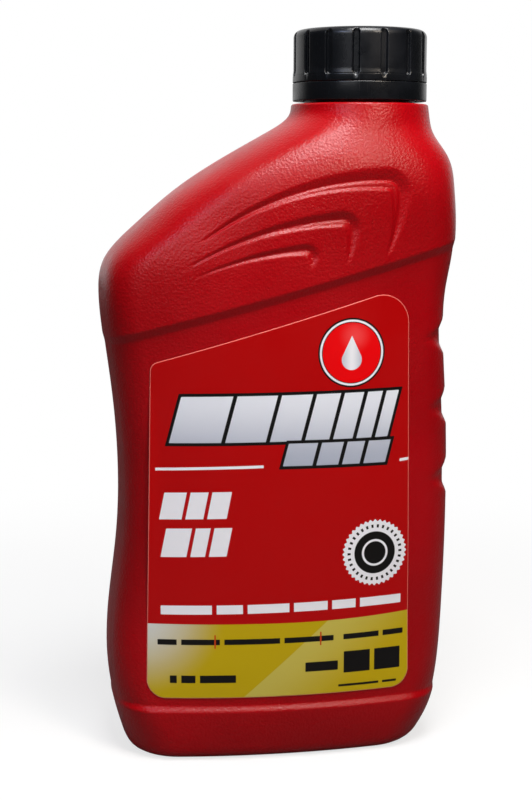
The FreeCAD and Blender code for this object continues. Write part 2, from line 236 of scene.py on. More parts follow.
def corner_arc(half_x, half_y, front_r, side_r, corner_r):
    """Centre of a corner arc that is tangent to the side arc and the front arc."""
    side_x, front_y = half_x - side_r, half_y - front_r
    gap = math.hypot(side_x, front_y)
    to_side, to_front = side_r - corner_r, front_r - corner_r
    along = (to_side ** 2 - to_front ** 2 + gap ** 2) / (2 * gap)
    off = math.sqrt(to_side ** 2 - along ** 2)
    ux, uy = -side_x / gap, front_y / gap
    ends = [(side_x + along * ux + s * off * uy, along * uy - s * off * ux) for s in (1, -1)]
    cx, cy = max(ends, key=sum)
    return cx, cy, math.atan2(cy, cx - side_x), math.atan2(cy - front_y, cx)


def section_ring(level, counts):
    """Points of one section and the outward direction at each, from the front's left end round."""
    half_x = (level.left + level.right) / 2
    centre = (level.right - level.left) / 2
    if level.front:
        front_r, side_r = level.front, level.side
        front_y = level.depth - front_r
        corners = [corner_arc(half_x, level.depth, front_r, side_r, r)
                   for r in (level.left_corner, level.right_corner)]
        radii = level.left_corner, level.right_corner
    else:
        front_r = side_r = half_x
        front_y = 0.0
        corners = [(0.0, 0.0, *circle_corner)] * 2
        radii = half_x, half_x
    (lx, ly, left_side, left_front), (rx, ry, right_side, right_front) = corners
    side_x = half_x - side_r
    arcs = [
        (counts.front, 0, -front_y, front_r, math.pi + left_front, 2 * math.pi - right_front),
        (counts.front_right, rx, -ry, radii[1], -right_front, -right_side),
        (counts.right, side_x, 0, side_r, -right_side, right_side),
        (counts.back_right, rx, ry, radii[1], right_side, right_front),
        (counts.back, 0, front_y, front_r, right_front, math.pi - left_front),
        (counts.back_left, -lx, ly, radii[0], math.pi - left_front, math.pi - left_side),
        (counts.left, -side_x, 0, side_r, math.pi - left_side, math.pi + left_side),
        (counts.front_left, -lx, -ly, radii[0], math.pi + left_side, math.pi + left_front),
    ]
    points, outward = [], []
    for count, cx, cy, radius, start, end in arcs:
        angle = start + (end - start) * np.arange(count) / count
        direction = np.stack([np.cos(angle), np.sin(angle)], axis=1)
        points.append(direction * radius + (centre + cx, cy))
        outward.append(direction)
    return np.concatenate(points), np.concatenate(outward)


# %% [markdown]
# ## A smooth skin through the sections
#
# A natural cubic spline runs up the bottle through every column of section points, as the mould maker's
# surface does. The label panel is the same skin set in by a little over a millimetre, and the two are
# mixed across a slanting step at the top and a level ledge at the foot. The rows of the mesh lean over
# with that step, so its edges follow the rows and stay straight.

# %% Spline skin
panel_recess = 1.3
panel_side_recess = 0.35
step_height = 149.6
step_slope = 0.27
step_band = 2.6
ridge_top = 18.1
ridge_band = 1.6


class Skin:
    """The blown surface, read at any height for a given set of columns."""

    def __init__(self, counts):
        levels = body_levels()
        self.heights = np.array([level.z for level in levels], float)
        full = [section_ring(level, counts) for level in levels]
        sunk = [section_ring(level._replace(depth=level.depth - panel_recess,
                                            left=level.left - panel_side_recess,
                                            right=level.right - panel_side_recess), counts)
                if level.front else section_ring(level, counts) for level in levels]
        self.full = np.array([np.concatenate(ring, axis=1) for ring in full])
        self.panel = np.array([np.concatenate(ring, axis=1) for ring in sunk])
        self.bends = {id(table): self.second_derivatives(table) for table in (self.full, self.panel)}
        self.columns = self.full.shape[1]

    def second_derivatives(self, table):
        """Natural cubic spline through the levels, for all columns at once."""
        z, count = self.heights, len(self.heights)
        matrix, right = np.eye(count), np.zeros((count,) + table.shape[1:])
        for i in range(1, count - 1):
            before, after = z[i] - z[i - 1], z[i + 1] - z[i]
            matrix[i, i - 1:i + 2] = before / 6, (before + after) / 3, after / 6
            right[i] = (table[i + 1] - table[i]) / after - (table[i] - table[i - 1]) / before
        flat = np.linalg.solve(matrix, right.reshape(count, -1))
        return flat.reshape(table.shape)

    def read(self, table, z):
        """Point and outward direction of every column, each at its own height (rows by columns)."""
        bend = self.bends[id(table)]
        i = np.clip(np.searchsorted(self.heights, z) - 1, 0, len(self.heights) - 2)
        column = np.broadcast_to(np.arange(self.columns), z.shape)
        gap = self.heights[i + 1] - self.heights[i]
        b = (z - self.heights[i]) / gap
        a = 1 - b
        a3 = ((a ** 3 - a) * gap ** 2 / 6)[..., None]
        b3 = ((b ** 3 - b) * gap ** 2 / 6)[..., None]
        return (a[..., None] * table[i, column] + b[..., None] * table[i + 1, column]
                + a3 * bend[i, column] + b3 * bend[i + 1, column])

    def at(self, z):
        """Points (x, y, z) and outward directions with the panel let in."""
        full, panel = self.read(self.full, z), self.read(self.panel, z)
        below_step = soft_ramp((step_height - (z - step_slope * full[..., 0])) / step_band)
        above_ridge = soft_ramp((z - (ridge_top - ridge_band)) / ridge_band, 0.2)
        mixed = full + (panel - full) * (below_step * above_ridge)[..., None]
        points = np.concatenate([mixed[..., :2], z[..., None]], axis=-1)
        outward = mixed[..., 2:] / np.linalg.norm(mixed[..., 2:], axis=-1, keepdims=True)
        return points, outward


# %% Rows that lean with the step
row_plan = [(3.6, 1.2), (15.4, 0.4), (19.4, 2.6), (79.0, 0.85), (127.0, 1.2), (145.6, 0.34),
            (150.7, 0.38), (182.0, 0.7), (192.0, 1.0), (206.1, 1.0)]
lean_from, lean_full = 66.0, 138.0
level_from, level_full = 158.0, 202.0


def row_heights(plan):
    """Heights of rows, each stretch divided by its own step."""
    heights = []
    for (start, step), (end, _) in zip(plan, plan[1:]):
        count = max(1, round((end - start) / step))
        heights.append(np.linspace(start, end, count, endpoint=False))
    return np.concatenate(heights + [[plan[-1][0]]])


def leaning_rows(skin, rows):
    """Height of every grid point, with rows that climb to the right as the slanting step does."""
    leaning = smooth((rows - lean_from) / (lean_full - lean_from))
    level_again = smooth((rows - level_from) / (level_full - level_from))
    lean = step_slope * leaning * (1 - level_again)
    z = np.repeat(rows[:, None], skin.columns, axis=1)
    for _ in range(5):
        z = rows[:, None] + lean[:, None] * skin.read(skin.full, z)[..., 0]
    return z


# %% [markdown]
# ## Shoulder grooves
#
# Three nested grooves sweep over the shoulder. Each has a soft wall that dips in from above, a narrow
# shelf, and a second crisp step back to the skin. They could be cut with booleans, but a moulded groove
# has soft edges, so the skin's points are moved instead: every point finds the nearest place on the
# groove's line and takes the depth for its distance from that line.

# %% Groove lines
Groove = namedtuple("Groove", "tip crown corner tail size bend")
grooves = [
    Groove((-27.5, 164.1), (3.0, 179.5), (33.9, 183.1), (30.4, 161.2), 1.0, 4.0),
    Groove((-31.2, 156.9), (-4.0, 168.2), (18.5, 171.3), (17.2, 158.1), 0.72, 2.9),
    Groove((-29.7, 153.6), (-7.7, 160.5), (6.2, 162.1), (5.8, 156.5), 0.52, 2.1),
]
groove_depth = 1.5
groove_soft_width = 4.0
groove_step_width = 2.9
groove_step_run = 0.65
groove_tip_size = 0.14
groove_fade = 2.5
groove_soft_bend = 0.15
groove_step_bend = 0.25
first_step_share = 0.47
arm_steps, corner_steps, tail_steps = 60, 16, 40


def arc_through(start, middle, end, count):
    """Points and directions along the circle through three points."""
    a, b, c = (complex(*p) for p in (start, middle, end))
    w = (c - a) / (b - a)
    centre = a + (b - a) * (w - abs(w) ** 2) / (2j * w.imag)
    turn = [np.angle(p - centre) for p in (a, b, c)]
    sweep = np.unwrap(turn)
    angle = np.linspace(sweep[0], sweep[2], count)
    radius = abs(a - centre)
    points = np.stack([centre.real + radius * np.cos(angle), centre.imag + radius * np.sin(angle)], axis=1)
    way = np.sign(sweep[2] - sweep[0])
    along = np.stack([-np.sin(angle), np.cos(angle)], axis=1) * way
    return points, along


def groove_line(groove):
    """The groove's line as points, the outward side at each point, and its size there."""
    (cx, cz), bend = groove.corner, groove.bend
    arm, along = arc_through(groove.tip, groove.crown, (cx - bend, cz), arm_steps)
    t = np.linspace(0, 1, arm_steps)
    outward = np.stack([-along[:, 1], along[:, 0]], axis=1)
    size = groove.size * (groove_tip_size + (1 - groove_tip_size) * t)
    turn = np.radians(np.linspace(90, 0, corner_steps))
    round_the_corner = np.stack([np.cos(turn), np.sin(turn)], axis=1)
    corner_points = round_the_corner * bend + (cx - bend, cz - bend)
    s = np.linspace(0, 1, tail_steps)
    tail = np.stack([cx + (groove.tail[0] - cx) * s ** 2,
                     cz - bend + (groove.tail[1] - cz + bend) * s], axis=1)
    slope = np.gradient(tail, axis=0)
    tail_out = np.stack([-slope[:, 1], slope[:, 0]], axis=1)
    tail_out /= np.linalg.norm(tail_out, axis=1, keepdims=True)
    tail_size = groove.size * (1 - (1 - groove_tip_size) * s)
    return (np.concatenate([arm, corner_points[1:], tail[1:]]),
            np.concatenate([outward, round_the_corner[1:], tail_out[1:]]),
            np.concatenate([size, np.full(corner_steps - 1, groove.size), tail_size[1:]]))


# %% Depth of a groove
def past_end(place, end, inner):
    """How far each place lies beyond an end of a line, measured along the line."""
    return ((place - end) * (end - inner) / np.linalg.norm(end - inner)).sum(-1)


def groove_dip(groove, place):
    """How deep the groove is under each (x, z) place of the front view."""
    line, outward, size = groove_line(groove)
    ends, starts = line[1:], line[:-1]
    run = ends - starts
    length2 = (run ** 2).sum(axis=1)
    t = np.clip(((place[:, None, :] - starts) * run).sum(-1) / length2, 0, 1)
    nearest = starts + t[..., None] * run
    away = np.linalg.norm(place[:, None, :] - nearest, axis=-1)
    best = away.argmin(axis=1)
    pick = np.arange(len(place)), best
    t, away, nearest = t[pick], away[pick], nearest[pick]
    side = outward[best] * (1 - t[:, None]) + outward[best + 1] * t[:, None]
    here = size[best] * (1 - t) + size[best + 1] * t
    signed = away * np.sign(((place - nearest) * side).sum(-1))
    past = np.maximum(past_end(place, line[0], line[1]), past_end(place, line[-1], line[-2]))
    beyond = np.where((best == 0) | (best == len(size) - 2), np.maximum(past, 0), 0)
    step_run = groove_step_run * np.sqrt(here)
    shelf = groove_step_width * here
    soft = soft_ramp(1 - signed / (groove_soft_width * here), groove_soft_bend)
    first = soft_ramp(-signed / step_run, groove_step_bend)
    second = soft_ramp((-signed - shelf + groove_step_run) / step_run, groove_step_bend)
    filled_again = first_step_share * first + (1 - first_step_share) * second
    dip = groove_depth * np.sqrt(here) * (soft - filled_again)
    return np.maximum(dip, 0) * (1 - smooth(beyond / groove_fade))


# %% Sink the grooves
groove_zone_low, groove_zone_high = 146.0, 198.0
groove_zone_front = 6.0
batches = 12


def press_grooves(points):
    """Sinks the three grooves into the front, and the same three into the back."""
    flat = points.reshape(-1, 3)
    near = np.flatnonzero((flat[:, 2] > groove_zone_low) & (flat[:, 2] < groove_zone_high)
                          & (np.abs(flat[:, 1]) > groove_zone_front))
    total = np.zeros(len(near))
    for groove in grooves:
        for part in np.array_split(np.arange(len(near)), batches):
            place = flat[near[part]][:, [0, 2]]
            total[part] = np.maximum(total[part], groove_dip(groove, place))
    flat[near, 1] -= np.sign(flat[near, 1]) * total
    return flat.reshape(points.shape)


# %% [markdown]
# ## Finger grips
#
# Three shallow notches bite the right-hand edge so that wet fingers can hold the bottle. Each has a flat
# floor between two slanting faces, and it runs out to a point on the front and on the back. A point's
# outward direction says how far round the edge it sits, and so how tall and how deep the notch is there.

# %% Grip notches
grip_heights = [88.3, 111.0, 133.7]
grip_half_height = 5.8
grip_depth = 1.3
grip_face_slope = 0.42
grip_face_bend = 0.08
grip_full_turn = math.radians(20)
grip_end_turn = math.radians(74)


def press_grips(points, outward):
    """Sinks the three notches into the right-hand edge."""
    turned = np.abs(np.arctan2(outward[..., 1], outward[..., 0]))
    share = np.clip((grip_end_turn - turned) / (grip_end_turn - grip_full_turn), 0, 1)
    for height in grip_heights:
        rise = np.abs(points[..., 2] - height)
        face = soft_positive(grip_face_slope * (grip_half_height * share - rise), grip_face_bend)
        sink = np.minimum(face, grip_depth * share)
        points[..., :2] -= outward * sink[..., None]
    return points


# %% [markdown]
# ## The bottle
#
# The skin's grid starts in the middle of the push-up under the base, runs out over the rim the bottle
# stands on, round the heel and up to the collar. The neck is a second, turned grid with the bead that
# holds the tamper ring and the helical thread, and it goes on down the bore into the hollow inside.

# %% Base, heel and body rows
heel_radius = 3.6
base_rim = 7.0
push_up = 2.2
push_up_slope = 3.0
collar_edge = 0.8
collar_top_radius = 20.5
neck_radius = 17.6
neck_overlap = 0.6
bore_radius = 14.6

skin_counts = Counts(146, 22, 12, 12, 62, 16, 8, 34)
skin = Skin(skin_counts)
rows = row_heights(row_plan)
body_points, body_out = skin.at(leaning_rows(skin, rows))
body_points = press_grooves(press_grips(body_points, body_out))


def flat_ring(source, height, inset):
    """One level ring, set in from the skin at its own height."""
    points, outward = source
    ring = points[0].copy()
    ring[:, :2] -= outward[0] * inset
    ring[:, 2] = height
    return ring


def base_rings(source_skin):
    """Rings from the middle of the base out to the top of the heel."""
    rings = []
    foot = source_skin.at(np.zeros((1, source_skin.columns)))
    crown = flat_ring(foot, push_up, base_rim + push_up_slope)
    middle = crown.mean(axis=0)
    for share in (0.1, 0.3, 0.5, 0.7, 0.85):
        rings.append(middle + (crown - middle) * share)
    for share in np.linspace(1, 0, 7):
        rings.append(flat_ring(foot, push_up * smooth(share), base_rim + push_up_slope * share))
    rings.append(flat_ring(foot, 0.0, (base_rim + heel_radius) / 2))
    for turn in np.radians(np.linspace(90, 15, 6)):
        height = heel_radius * (1 - math.sin(turn))
        side = source_skin.at(np.full((1, source_skin.columns), height))
        rings.append(flat_ring(side, height, heel_radius * (1 - math.cos(turn))))
    return rings, middle


base, base_middle = base_rings(skin)

# %% Collar over the body
collar = []
for turn in np.radians(np.linspace(18, 90, 5)):
    height = collar_height - collar_edge + collar_edge * math.sin(turn)
    collar.append(flat_ring((body_points[-1:], body_out[-1:]), height, collar_edge * (1 - math.cos(turn))))
neck_centre = np.array([neck_x, 0.0])
for radius in (collar_top_radius, neck_radius - neck_overlap):
    ring = np.concatenate([neck_centre + body_out[-1] * radius,
                           np.full((skin.columns, 1), collar_height)], axis=1)
    collar.append(ring)
skin_grid = np.concatenate([np.array(base), body_points, np.array(collar)])
print("skin rows", len(skin_grid), "columns", skin.columns)

# %% Thread and turned profile
thread_pitch = 4.2
thread_turns = 1.35
thread_depth = 1.15
thread_root_width = 2.0
thread_crest_width = 0.9
thread_start = 217.3
thread_ease = 0.25


def thread_ridge(angle, z, start):
    """Height of a one-start right-hand thread over its root, with eased ends."""
    ridge = np.zeros(np.broadcast(angle, z).shape)
    last = 2 * math.pi * thread_turns
    for lap in range(3):
        turn = np.mod(angle, 2 * math.pi) + 2 * math.pi * (lap - 1)
        away = np.abs(z - start - thread_pitch * turn / (2 * math.pi))
        slope = (thread_root_width - thread_crest_width) / 2
        across = soft_ramp((thread_root_width / 2 - away) / slope, 0.2)
        risen = smooth((turn + thread_ease) / (2 * thread_ease))
        not_sunk = smooth((last - turn + thread_ease) / (2 * thread_ease))
        ridge = np.maximum(ridge, across * risen * not_sunk)
    return ridge * thread_depth


def turned_grid(profile, angle, centre_x):
    """A profile of (radius, height) points turned about the neck's axis."""
    radius, height = profile[:, :1], profile[:, 1:]
    x = centre_x + radius * np.cos(angle)
    y = radius * np.sin(angle)
    z = height + 0 * angle
    return np.stack([x, y, z], axis=-1)


def push_out(grid, angle, amount):
    """Moves the points of a turned grid away from the neck's axis."""
    grid[..., 0] += amount * np.cos(angle)
    grid[..., 1] += amount * np.sin(angle)


# %% Neck and bore
bead_radius = 19.3
bead_low = 210.5
bead_height = 2.2
plain_top = 215.0
thread_rows = 38
bore_middle = 206.0

hollow = Skin(Counts(26, 9, 8, 8, 26, 9, 8, 9))
around = np.arctan2(hollow.full[-1, :, 3], hollow.full[-1, :, 2])
outside = rounded_profile([(neck_radius, collar_height - 0.4), (neck_radius, bead_low),
                           (bead_radius, bead_low), (bead_radius, bead_low + bead_height / 3),
                           (neck_radius, bead_low + bead_height), (neck_radius, plain_top)], 0.35)
threaded = np.stack([np.full(thread_rows, neck_radius),
                     np.linspace(plain_top + 0.2, mouth_height - 1.0, thread_rows)], axis=1)
lip = rounded_profile([(neck_radius, mouth_height - 0.9), (neck_radius, mouth_height),
                       (bore_radius, mouth_height), (bore_radius, bore_middle)], 0.5, 5)
bore = np.stack([np.full(6, bore_radius), np.linspace(bore_middle - 0.5, collar_height - 3.5, 6)], axis=1)
neck_profile = np.concatenate([outside, threaded, lip, bore])
neck_grid = turned_grid(neck_profile, around[None, :], neck_x)
on_thread = np.abs(neck_profile[:, 0] - neck_radius) < 0.01
ridge = thread_ridge(around[None, :], neck_profile[:, 1:], thread_start) * on_thread[:, None]
push_out(neck_grid, around, ridge)

# %% Hollow inside
hollow_inset = 2.9
inside_floor_height = 4.6
inside_floor_inset = 4.0
inner_rows = np.concatenate([np.linspace(201.5, 150, 14), np.linspace(146, 6, 16)])
inner_points, inner_out = hollow.at(np.repeat(inner_rows[:, None], hollow.columns, axis=1))
inner_points[..., :2] -= inner_out * hollow_inset
inner_floor = flat_ring((inner_points[-1:], inner_out[-1:]), inside_floor_height, inside_floor_inset)
inner_middle = inner_floor.mean(axis=0)
neck_grid = np.concatenate([neck_grid, inner_points, inner_floor[None]])
print("neck and inside rows", len(neck_grid), "columns", hollow.columns)

# %% Join the bottle's grids
bottle_points, bottle_faces = join_grids([skin_grid, neck_grid], [(0, 0, base_middle, True),
                                                                  (1, -1, inner_middle, False)])
bottle_piece = make_piece("bottle_blown", bottle_points, bottle_faces, "bottle_body", "bottle_plastic",
                          "bottle")

# %% [markdown]
# ## The cap
#
# The cap is one injection-moulded shell with fifteen deep flutes for grip, a flared skirt and a softly
# rounded top edge. Each flute is a slot with round ends. The cap is a grid again: its columns crowd together
# at the flutes' walls, and each point's radius follows from its distance to the nearest slot. The inside is
# a second grid with the neck's own thread, set half a pitch lower so that the two mesh.

# %% Cap columns and flutes
cap_grip_radius = 21.2
cap_edge = 2.3
cap_skirt_height = 1.9
cap_flare_height = 2.0
flute_count = 15
flute_width = 2.0
flute_depth = 0.95
flute_top_below = 0.9
flute_first = math.radians(14.4)
flute_wall = 0.28
cap_clearance = 0.35
cap_bore = neck_radius + thread_depth + cap_clearance

skirt_low = cap_low[2]
cap_top = cap_high[2]
flare_low = skirt_low + cap_skirt_height
wall_places = np.array([0.0, 0.4, 0.66, 0.78, 0.86, 0.93, 1.0, 1.07, 1.15, 1.28, 1.5])
rib_places = [2.0, 2.7, 3.5]
rib_half = math.pi * cap_grip_radius / flute_count
beside = np.concatenate([wall_places * flute_width / 2, rib_places])
offsets = np.concatenate([-beside[:0:-1], beside, [rib_half]])
cap_angles = np.concatenate([flute_first + 2 * math.pi * i / flute_count + offsets / cap_grip_radius
                             for i in range(flute_count)])


def flute_mask(angle, z):
    """One inside a flute and nought on a rib, with a soft wall between."""
    period = 2 * math.pi / flute_count
    across = (np.mod(angle - flute_first + period / 2, period) - period / 2) * cap_grip_radius
    low_end = flare_low + flute_width / 2
    high_end = cap_top - flute_top_below - flute_width / 2
    past_slot = np.minimum(z - low_end, 0) + np.maximum(z - high_end, 0)
    away = np.hypot(across, past_slot)
    return soft_ramp((flute_width / 2 + flute_wall / 2 - away) / flute_wall, 0.3)


# %% Cap outside and top
shell_height = cap_top - cap_edge
skirt = rounded_profile([(cap_bore, skirt_low), (cap_radius, skirt_low), (cap_radius, flare_low),
                         (cap_radius - 0.06, flare_low + 0.25)], 0.25)
flare = np.stack([np.full(18, 0.0), np.linspace(flare_low + 0.35, flare_low + cap_flare_height, 18)], axis=1)
climb = (flare[:, 1] - flare_low) / cap_flare_height
flare[:, 0] = cap_radius + (cap_grip_radius - cap_radius) * smooth(climb)
grip_wall = np.stack([np.full(10, cap_grip_radius), np.linspace(flare_low + cap_flare_height + 0.5,
                                                                shell_height - 0.4, 10)], axis=1)
turn = np.radians(np.linspace(0, 90, 12))
top_edge = np.stack([cap_grip_radius - cap_edge * (1 - np.cos(turn)),
                     shell_height + cap_edge * np.sin(turn)], axis=1)
top_face = np.array([(16.0, cap_top), (10.0, cap_top), (4.0, cap_top), (1.0, cap_top)])
cap_profile = np.concatenate([skirt, flare, grip_wall, top_edge, top_face])
cap_grid = turned_grid(cap_profile, cap_angles[None, :], neck_x)
mask = flute_mask(cap_angles[None, :], cap_profile[:, 1:])
flute_floor = cap_grip_radius - flute_depth
near_wall = cap_profile[:, :1] > flute_floor - 0.5
cut = mask * soft_positive(cap_profile[:, :1] - flute_floor, 0.05) * near_wall
push_out(cap_grid, cap_angles, -cut)

# %% Cap inside
inside = np.concatenate([
    np.array([(0.8, liner_top), (8.0, liner_top), (16.0, liner_top)]),
    np.stack([np.full(40, cap_bore), np.linspace(liner_top, skirt_low, 40)], axis=1)])
inside_grid = turned_grid(inside, cap_angles[None, :], neck_x)
inside_ridge = thread_ridge(cap_angles[None, :], inside[:, 1:], thread_start - thread_pitch / 2)
push_out(inside_grid, cap_angles, -inside_ridge * (inside[:, :1] > cap_bore - 0.01))

# %% Join the cap
cap_points, cap_faces = join_grids([cap_grid, inside_grid], [(0, -1, (neck_x, 0, cap_top), False),
                                                             (1, 0, (neck_x, 0, liner_top), True)])
cap_piece = make_piece("cap_moulded", cap_points, cap_faces, "cap_body", "cap_plastic", "cap")

# %% [markdown]
# ## The tamper ring
#
# The ring is moulded with the cap and stays on the neck when the cap is first turned. Small bridges, torn
# at the first opening, stand on its upper edge. It is a turned section with a hook under the neck's bead,
# and the bridges are short rounded posts in the same mesh.

# %% Ring and bridges
ring_outer = (ring_high[0] - ring_low[0]) / 2
ring_wall = 1.5
ring_hook = 1.0
hook_height = 1.3
ring_start = 3.0
seam_gap = 0.16
bridge_count = 12
bridge_width = 1.2
bridge_sink = 0.06

ring_bottom = ring_low[2]
ring_top = skirt_low - seam_gap
ring_inner = ring_outer - ring_wall
ring_profile = rounded_profile([(ring_inner, ring_bottom + ring_start),
                                (ring_inner, ring_bottom + hook_height + ring_hook),
                                (ring_inner - ring_hook, ring_bottom + hook_height),
                                (ring_inner - ring_hook, ring_bottom), (ring_outer, ring_bottom),
                                (ring_outer, ring_top), (ring_inner, ring_top),
                                (ring_inner, ring_bottom + ring_start)], 0.3)
ring_angles = np.linspace(0, 2 * math.pi, 144, endpoint=False)
ring_grids = [turned_grid(ring_profile, ring_angles[None, :], neck_x)]
post_profile = rounded_profile([(0.05, 0.0), (bridge_width / 2, 0.0), (bridge_width * 0.4, 1.0),
                                (0.05, 1.0)], 0.12)
post_turn = np.linspace(0, 2 * math.pi, 12, endpoint=False)
for i in range(bridge_count):
    angle = 2 * math.pi * i / bridge_count
    middle = (ring_inner + ring_outer) / 2
    place = (neck_x + middle * math.cos(angle), middle * math.sin(angle), ring_top - bridge_sink)
    post = turned_grid(post_profile, post_turn[None, :], 0.0)
    post[..., 2] *= seam_gap + 0.05
    ring_grids.append(post + place)
ring_piece = make_piece("tamper_ring", *join_grids(ring_grids), "band_body", "cap_plastic", "tamper_band")

# %% [markdown]
# ## The front label
#
# The label is one printed film in the recessed panel. Its outline has four rounded corners and a top edge
# that slants as the step does. The outline is filled with triangles in the flat, then every point is laid
# on the panel's surface, so the film follows the bulge. Its cut edge is a loop of its own that drops to
# the plastic, and the fine pale line round the print is a highlight painted along that edge.

# %% Label outline
Corner = namedtuple("Corner", "x z radius")
label_corners = [Corner(-45.0, 20.9, 6.0), Corner(39.8, 20.9, 6.0), Corner(38.0, 151.1, 9.0),
                 Corner(-43.0, 127.3, 3.0)]
label_clearance = 0.08
label_thickness = 0.15
edge_width = 0.16
edge_drop = 0.05
film_spacing = 1.5


def rounded_loop(corners, spacing):
    """Points round an outline with rounded corners, and the outward direction at each."""
    points, outward, ends = [], [], []
    count = len(corners)
    for i, here in enumerate(corners):
        at = np.array(here[:2])
        before = np.array(corners[i - 1][:2]) - at
        after = np.array(corners[(i + 1) % count][:2]) - at
        before /= np.linalg.norm(before)
        after /= np.linalg.norm(after)
        half = math.acos(np.dot(before, after)) / 2
        middle = before + after
        middle /= np.linalg.norm(middle)
        centre = at + middle * here.radius / math.sin(half)
        start = at + before * here.radius / math.tan(half) - centre
        sweep = math.pi - 2 * half
        steps = max(4, round(here.radius * sweep / 0.5))
        first = math.atan2(start[1], start[0])
        angle = first + sweep * np.linspace(0, 1, steps + 1)
        direction = np.stack([np.cos(angle), np.sin(angle)], axis=1)
        ends.append((centre + direction * here.radius, direction))
    for i, (arc, direction) in enumerate(ends):
        following = ends[(i + 1) % count][0][0]
        points.append(arc)
        outward.append(direction)
        length = np.linalg.norm(following - arc[-1])
        steps = round(length / spacing)
        share = np.arange(1, steps)[:, None] / steps
        points.append(arc[-1] + (following - arc[-1]) * share)
        outward.append(np.repeat(direction[-1:], steps - 1, axis=0))
    return np.concatenate(points), np.concatenate(outward)


def panel_depth(x, z):
    """Where the recessed panel's front surface lies behind each place of the front view."""
    front = slice(0, skin_counts.front)
    row = skin.read(skin.panel, np.repeat(z[:, None], skin.columns, axis=1))[:, front]
    return np.array([np.interp(px, line[:, 0], line[:, 1]) for px, line in zip(x, row)])


# %% Label film
outline, outline_out = rounded_loop(label_corners, 1.0)
inner_loop = outline - outline_out * edge_width
second_loop = outline - outline_out * (edge_width + 0.3)
grid_x, grid_z = np.meshgrid(np.arange(-43.5, 40, film_spacing), np.arange(21.5, 152, film_spacing))
lattice = np.stack([grid_x.ravel(), grid_z.ravel()], axis=1)
towards = lattice[:, None, :] - outline[None, :, :]
nearest = np.linalg.norm(towards, axis=2).argmin(axis=1)
depth_inside = -((lattice - outline[nearest]) * outline_out[nearest]).sum(axis=1)
lattice = lattice[depth_inside > 1.0]
loop_size = len(outline)
flat_points = np.concatenate([inner_loop, second_loop, lattice])
loop_edges = [(i, (i + 1) % loop_size) for i in range(loop_size)]
filled = delaunay_2d_cdt([Vector(p) for p in flat_points], loop_edges, [], 1, 1e-7)
film_vectors, _, film_faces, originals = filled[:4]
film = np.array([tuple(p) for p in film_vectors])
now_at = {before: i for i, befores in enumerate(originals) for before in befores}
rim_points = [now_at[i] for i in range(loop_size)]
print("label film:", len(film), "points, loop of", loop_size)

# %% Lay the film on the panel
film_depth = panel_depth(film[:, 0], film[:, 1])
edge_depth = panel_depth(outline[:, 0], outline[:, 1])
face_out = label_clearance + label_thickness


def laid(flat, depth, lift):
    """Flat label points set on the panel, lifted off it by a small amount."""
    return np.stack([flat[:, 0], depth - lift, flat[:, 1]], axis=1)


label_points = np.concatenate([laid(film, film_depth, face_out),
                               laid(outline, edge_depth, face_out - edge_drop),
                               laid(outline, edge_depth, label_clearance),
                               laid(film, film_depth, label_clearance)])
film_count = len(film)
label_faces = [tuple(face) for face in film_faces]
back_start = film_count + 2 * loop_size
label_faces += [tuple(back_start + i for i in reversed(face)) for face in film_faces]
for i in range(loop_size):
    j = (i + 1) % loop_size
    a, b = film_count + i, film_count + j
    c, d = a + loop_size, b + loop_size
    label_faces.append((rim_points[i], a, b, rim_points[j]))
    label_faces.append((a, c, d, b))
    label_faces.append((c, back_start + rim_points[i], back_start + rim_points[j], d))
label_piece = make_piece("label_printed", label_points, label_faces, "bottle_body", "label_film",
                         "front_label")
# Marks the cut edge, where the film's shader paints a pale highlight.
rim_value = np.zeros(len(label_points))
rim_value[film_count:back_start] = 1.0
rim_value[rim_points] = 1.0
rim = label_piece.data.attributes.new("cut_edge", "FLOAT", "POINT")
rim.data.foreach_set("value", rim_value.astype(np.float32))

# %% [markdown]
# ## Tools for materials
#
# Materials are built from nodes in code. Short helpers add a node, feed its inputs and do sums, and colours
# are written as they look on a screen and turned into the linear values that the shader needs.

# %% Node helpers


def screen(red, green, blue):
    """A colour as it looks on a screen, from 0 to 255, made linear."""
    channels = [v / 255 for v in (red, green, blue)]
    linear = [v / 12.92 if v <= 0.04045 else ((v + 0.055) / 1.055) ** 2.4 for v in channels]
    return (*linear, 1.0)


def feed(tree, node, inputs):
    """Sets a node's inputs, or links them where the value is another node's socket."""
    for key, value in inputs.items():
        if isinstance(value, bpy.types.NodeSocket):
            tree.links.new(value, node.inputs[key])
        else:
            node.inputs[key].default_value = value
    return node


def add(tree, kind, inputs=None, **settings):
    """Adds a node, applies its settings and feeds its inputs."""
    made = tree.nodes.new(kind)
    for key, value in settings.items():
        setattr(made, key, value)
    return feed(tree, made, inputs or {})


def calc(tree, operation, *values, clamp=False):
    """One sum on sockets or numbers."""
    made = add(tree, "ShaderNodeMath", dict(enumerate(values)), operation=operation, use_clamp=clamp)
    return made.outputs[0]


def mixed(tree, share, below, above):
    """One colour laid over another by a share."""
    made = add(tree, "ShaderNodeMix", {"Factor": share, "A": below, "B": above}, data_type="RGBA")
    return made.outputs["Result"]


def ranged(tree, value, low, high, to_low=0.0, to_high=1.0):
    """A value moved smoothly from one range to another."""
    made = add(tree, "ShaderNodeMapRange", {"Value": value, "From Min": low, "From Max": high,
                                            "To Min": to_low, "To Max": to_high},
               interpolation_type="SMOOTHSTEP")
    return made.outputs["Result"]


def relief(tree, height, strength, distance):
    """The normal of a fine relief, from its height."""
    made = add(tree, "ShaderNodeBump", {"Height": height, "Strength": strength, "Distance": distance})
    return made.outputs[0]


def new_group(name, inputs, outputs):
    """An empty shader group with named sockets."""
    tree = bpy.data.node_groups.new(name, "ShaderNodeTree")
    for label, kind, default in inputs:
        socket = tree.interface.new_socket(label, in_out="INPUT", socket_type=kind)
        if default is not None:
            socket.default_value = default
    for label, kind in outputs:
        tree.interface.new_socket(label, in_out="OUTPUT", socket_type=kind)
    return tree, tree.nodes.new("NodeGroupInput"), tree.nodes.new("NodeGroupOutput")


